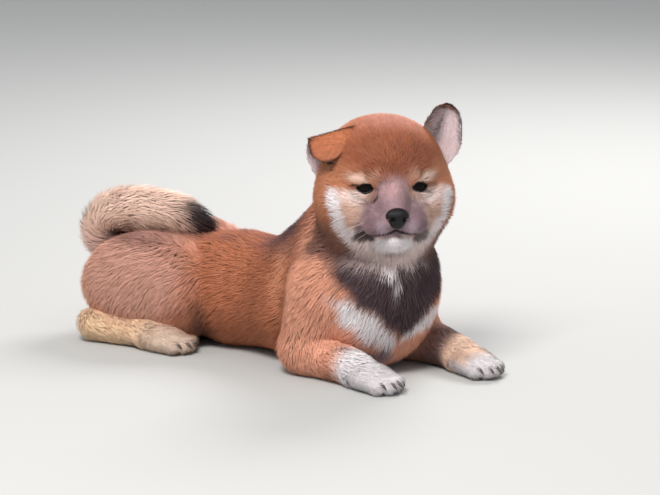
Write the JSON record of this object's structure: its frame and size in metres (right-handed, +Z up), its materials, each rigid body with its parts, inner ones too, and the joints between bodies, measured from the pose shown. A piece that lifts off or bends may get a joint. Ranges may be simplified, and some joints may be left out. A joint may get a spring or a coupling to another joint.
{
  "type": "shiba inu puppy",
  "caption": "Young shiba inu puppy lying on its chest, head turned to its right, one ear folded, tail curled over its back.",
  "frame": {"origin": "middle of the footprint box, on the floor", "axes": "+X along the back towards the chest, +Y to the puppy's left, +Z up"},
  "size_m": [0.4014, 0.1704, 0.2191],
  "materials": {
    "claw": "dark horn",
    "dark_coat": "dark sable coat on the chest",
    "eye": "wet dark-brown eye",
    "nose": "moist black nose pad",
    "red_coat": "short plush puppy coat, red-brown",
    "tan_coat": "longer tail hair, tan with a black tip",
    "white_coat": "short cream-white coat"
  },
  "bodies": {
    "root": {"chest": "dark_coat", "claw_fore_left_1": "claw", "claw_fore_left_2": "claw", "claw_fore_left_3": "claw", "claw_fore_left_4": "claw", "claw_fore_right_1": "claw", "claw_fore_right_2": "claw", "claw_fore_right_3": "claw", "claw_fore_right_4": "claw", "claw_hind_left_1": "claw", "claw_hind_left_2": "claw", "claw_hind_left_3": "claw", "claw_hind_left_4": "claw", "claw_hind_right_1": "claw", "claw_hind_right_2": "claw", "claw_hind_right_3": "claw", "claw_hind_right_4": "claw", "ear_left": "red_coat", "ear_right": "red_coat", "eye_left": "eye", "eye_right": "eye", "foreleg_left_forearm": "red_coat", "foreleg_left_paw": "white_coat", "foreleg_left_upper": "red_coat", "foreleg_right_forearm": "red_coat", "foreleg_right_paw": "white_coat", "foreleg_right_upper": "red_coat", "head": "red_coat", "hindleg_left_paw": "white_coat", "hindleg_left_shank": "red_coat", "hindleg_left_thigh": "red_coat", "hindleg_right_paw": "white_coat", "hindleg_right_shank": "red_coat", "hindleg_right_thigh": "red_coat", "loin": "red_coat", "lower_jaw": "white_coat", "neck": "red_coat", "nose": "nose", "rump": "red_coat", "tail_base": "tan_coat", "tail_curl": "tan_coat"}
  },
  "joints": []
}
